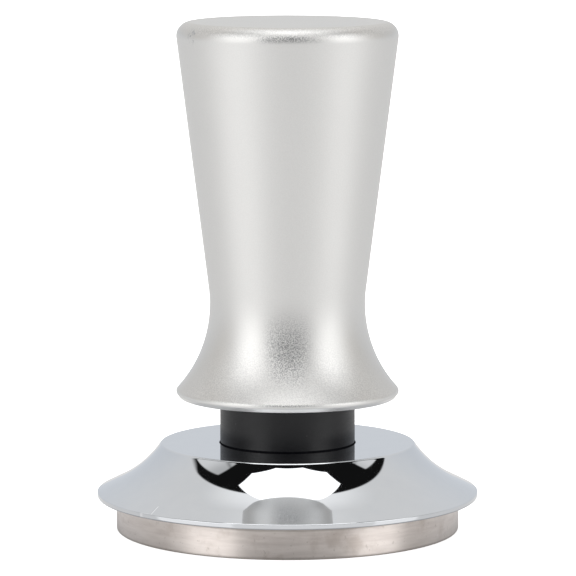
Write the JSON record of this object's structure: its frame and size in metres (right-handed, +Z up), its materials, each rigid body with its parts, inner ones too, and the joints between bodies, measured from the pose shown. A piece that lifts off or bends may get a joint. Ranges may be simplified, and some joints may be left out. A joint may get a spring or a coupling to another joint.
{
  "type": "espresso tamper",
  "caption": "Calibrated espresso tamper with a round steel base, a self-levelling chromed rim flange on a black sleeve, and a flared sprung aluminium handle.",
  "frame": {"origin": "centre of the tamping face, the flat underside that presses the coffee", "axes": "+Z up along the tamper's axis from the tamping face to the top of the handle; the part is round, so +X and +Y only fix which way the screws face"},
  "size_m": [0.065, 0.065, 0.0865],
  "materials": {
    "turned_steel": "fine turned",
    "ground_steel": "ground",
    "spring_steel": "oiled",
    "black_oxide_steel": "satin black oxide",
    "anodised_aluminium": "bead blasted, clear anodised",
    "black_anodised": "satin black anodised",
    "polished_chrome": "mirror",
    "brass": "machined",
    "bearing_bronze": "sintered",
    "black_rubber": "matte",
    "black_acetal": "satin",
    "white_acetal": "satin"
  },
  "bodies": {
    "base_unit": {"tamping_base": "turned_steel", "damper_ring": "black_rubber", "plunger_shaft": "ground_steel", "base_lock_screw": "black_oxide_steel", "shaft_circlip": "spring_steel", "leveller_top_washer": "ground_steel", "leveller_spring": "spring_steel", "spring_plate": "ground_steel", "lock_washer": "spring_steel", "plunger_screw": "black_oxide_steel", "main_spring": "spring_steel"},
    "press_carriage": {"upper_spring_seat": "white_acetal"},
    "handle_unit": {"handle": "anodised_aluminium", "retaining_bush": "brass", "shaft_bush": "bearing_bronze", "bumper_ring": "black_rubber", "mouth_ring": "black_acetal"},
    "level_carriage": {"leveller_thrust_washer": "white_acetal"},
    "leveller_unit": {"levelling_flange": "polished_chrome", "guide_sleeve": "black_anodised", "sleeve_bush": "bearing_bronze", "sleeve_o_ring": "black_rubber", "flange_screws": "black_oxide_steel"}
  },
  "joints": [
    {"name": "handle_press", "type": "slide", "parent": "base_unit", "child": "press_carriage", "axis": [0, 0, -1], "range_m": [0, 0.0033], "stiffness_N_per_m": 10000, "springref_m": -0.01, "deforming": ["main_spring"]},
    {"name": "handle_spin", "type": "hinge", "parent": "press_carriage", "child": "handle_unit", "pos_m": [0, 0, 0.06], "axis": [0, 0, 1], "continuous": true},
    {"name": "level_slide", "type": "slide", "parent": "base_unit", "child": "level_carriage", "axis": [0, 0, 1], "range_m": [0, 0.0044], "stiffness_N_per_m": 450, "springref_m": -0.006, "deforming": ["leveller_spring"]},
    {"name": "level_spin", "type": "hinge", "parent": "level_carriage", "child": "leveller_unit", "pos_m": [0, 0, 0.0125], "axis": [0, 0, 1], "continuous": true}
  ]
}
